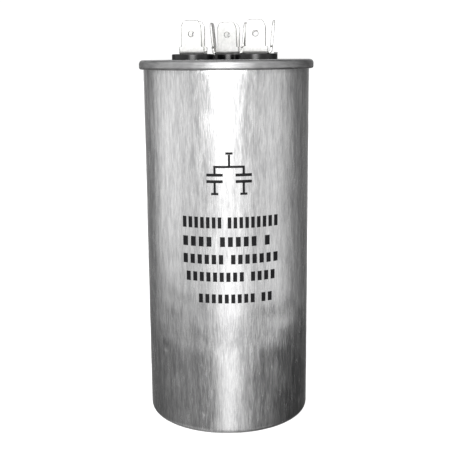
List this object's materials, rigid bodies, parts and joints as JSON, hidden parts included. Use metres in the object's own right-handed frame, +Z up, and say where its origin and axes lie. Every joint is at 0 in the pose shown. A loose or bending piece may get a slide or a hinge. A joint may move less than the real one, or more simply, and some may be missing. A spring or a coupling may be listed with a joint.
{
  "type": "motor run capacitor",
  "caption": "Round motor run capacitor: a seamed aluminium can with film windings inside, and upright push-on tabs on black insulators in its lid.",
  "frame": {"origin": "centre of the can's base, on the surface it stands on", "axes": "+Z runs up the can's axis to the terminals; -Y is the printed front; +X is to the right as the front is seen"},
  "size_m": [0.0568, 0.0568, 0.1313],
  "materials": {
    "drawn_aluminium": "drawn and brushed lengthwise, satin to bright, lightly scuffed",
    "lid_aluminium": "rolled sheet, dull satin",
    "sealing_compound": "dull rubber compound",
    "tinned_brass": "tin plate, bright satin",
    "rivet_brass": "tinned brass, satin",
    "black_phenolic": "moulded black phenolic, semi-gloss",
    "seal_rubber": "moulded rubber",
    "metallised_film": "wound metallised polypropylene film",
    "plain_film": "wound plain film",
    "white_plastic": "moulded polypropylene",
    "sprayed_zinc": "sprayed zinc, rough",
    "lead_sleeve": "insulated stranded wire"
  },
  "bodies": {
    "root": {"can": "drawn_aluminium", "lid": "lid_aluminium", "seam_compound": "sealing_compound", "tabs_common": "tinned_brass", "tabs_fan": "tinned_brass", "tabs_herm": "tinned_brass", "rivet_common": "rivet_brass", "rivet_fan": "rivet_brass", "rivet_herm": "rivet_brass", "insulator_common": "black_phenolic", "insulator_fan": "black_phenolic", "insulator_herm": "black_phenolic", "seal_common": "seal_rubber", "seal_fan": "seal_rubber", "seal_herm": "seal_rubber", "lower_insulator_common": "black_phenolic", "lower_insulator_fan": "black_phenolic", "lower_insulator_herm": "black_phenolic", "solder_tag_common": "tinned_brass", "solder_tag_fan": "tinned_brass", "solder_tag_herm": "tinned_brass", "lead_common": "lead_sleeve", "lead_fan": "lead_sleeve", "lead_herm": "lead_sleeve", "herm_winding": "metallised_film", "fan_winding": "metallised_film", "winding_barrier": "plain_film", "core_tube": "white_plastic", "outer_wrap": "plain_film", "common_end_spray": "sprayed_zinc", "fan_end_spray": "sprayed_zinc", "herm_end_spray": "sprayed_zinc", "base_cup": "white_plastic", "top_spacer": "white_plastic"}
  },
  "joints": []
}
